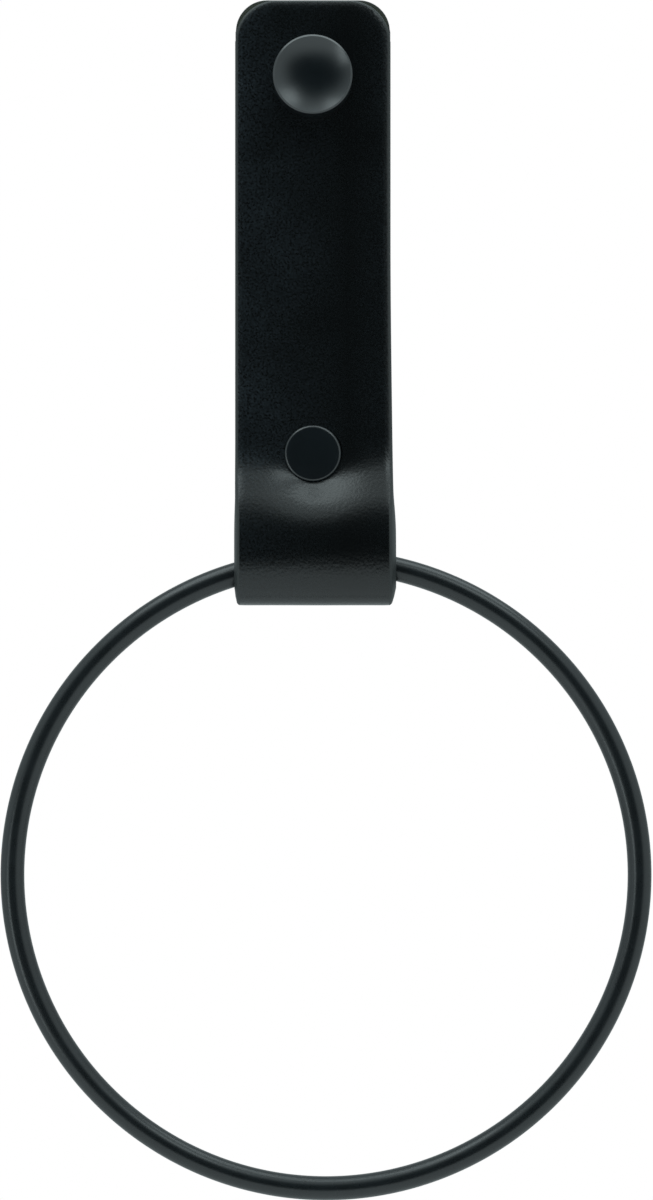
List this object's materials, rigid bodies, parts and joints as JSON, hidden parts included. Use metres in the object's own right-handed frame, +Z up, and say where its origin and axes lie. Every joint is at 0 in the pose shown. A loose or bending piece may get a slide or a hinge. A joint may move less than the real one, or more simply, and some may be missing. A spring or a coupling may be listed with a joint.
{
  "type": "towel ring",
  "caption": "Wall-hung towel ring: a folded black leather strap, closed by a double-cap rivet and fixed by a dished knob on a hanger bolt, carries a swinging round ring.",
  "frame": {"origin": "on the hanger bolt's axis at the wall's face", "axes": "+Z up, +X to the right, +Y into the wall, so the front faces -Y"},
  "size_m": [0.1686, 0.0552, 0.3107],
  "materials": {
    "leather": "dyed-through black leather, semi-gloss grain",
    "coated_steel": "satin black powder coat",
    "zinc_steel": "bright zinc plate"
  },
  "bodies": {
    "wall_fixing": {"hanger_bolt": "zinc_steel", "knob": "coated_steel"},
    "strap": {"strap": "leather", "rivet_front_cap": "coated_steel", "rivet_back_cap": "coated_steel", "rivet_socket": "zinc_steel", "rivet_post": "zinc_steel"},
    "ring": {"ring": "coated_steel"}
  },
  "joints": [
    {"name": "strap_swivel", "type": "hinge", "parent": "wall_fixing", "child": "strap", "pos_m": [0, 0, 0], "axis": [0, 1, 0], "continuous": true},
    {"name": "ring_swing", "type": "hinge", "parent": "strap", "child": "ring", "pos_m": [0, -0.0079, -0.12452], "axis": [-1, 0, 0], "range_deg": [-1.5, 180]}
  ]
}
